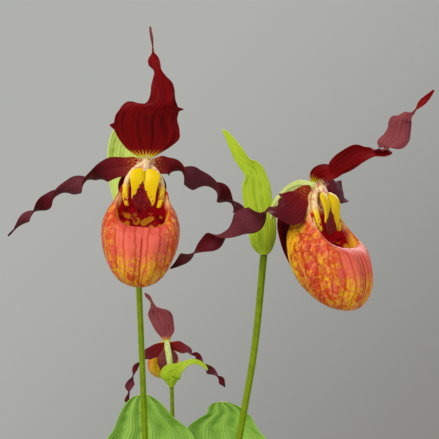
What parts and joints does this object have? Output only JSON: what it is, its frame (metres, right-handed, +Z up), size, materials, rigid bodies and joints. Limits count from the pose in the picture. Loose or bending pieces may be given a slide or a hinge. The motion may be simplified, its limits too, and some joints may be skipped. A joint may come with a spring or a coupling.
{
  "type": "potted orchid",
  "caption": "Potted slipper orchid with arched flowers, twisted ribbon petals, hollow pouches and pleated leaves.",
  "frame": {"origin": "centre of the pot's underside, on the surface the pot stands on", "axes": "+Z up along the pot's axis, the two front flowers face -Y"},
  "size_m": [0.2946, 0.2956, 0.518],
  "materials": {
    "clay": "dry, slightly rough fired clay",
    "soil": "crumbly dark bark and loam",
    "stem": "satin living stem with short down",
    "ovary": "satin, ribbed",
    "bract": "satin leaf skin, thin and light",
    "sheath": "papery",
    "leaf": "satin pleated leaf",
    "sepal": "satin, finely veined dark red",
    "petal": "satin, dark red-purple",
    "pouch": "waxy satin, veined",
    "column": "waxy satin",
    "staminode": "waxy satin"
  },
  "bodies": {
    "root": {"stem_1": "stem", "ovary_1": "ovary", "bract_1": "bract", "dorsal_sepal_1": "sepal", "synsepal_1": "sepal", "petal_left_1": "petal", "petal_right_1": "petal", "column_1": "column", "staminode_1": "staminode", "pouch_1": "pouch", "sheath_1": "sheath", "stem_2": "stem", "ovary_2": "ovary", "bract_2": "bract", "dorsal_sepal_2": "sepal", "synsepal_2": "sepal", "petal_left_2": "petal", "petal_right_2": "petal", "column_2": "column", "staminode_2": "staminode", "pouch_2": "pouch", "sheath_2": "sheath", "stem_3": "stem", "ovary_3": "ovary", "bract_3": "bract", "dorsal_sepal_3": "sepal", "synsepal_3": "sepal", "petal_left_3": "petal", "petal_right_3": "petal", "column_3": "column", "staminode_3": "staminode", "pouch_3": "pouch", "sheath_3": "sheath", "leaf_1_a": "leaf", "leaf_2_a": "leaf", "leaf_1_b": "leaf", "leaf_1_c": "leaf", "leaf_2_b": "leaf", "leaf_2_c": "leaf", "leaf_3_a": "leaf", "leaf_3_b": "leaf", "leaf_3_c": "leaf", "soil": "soil", "pot": "clay"}
  },
  "joints": []
}
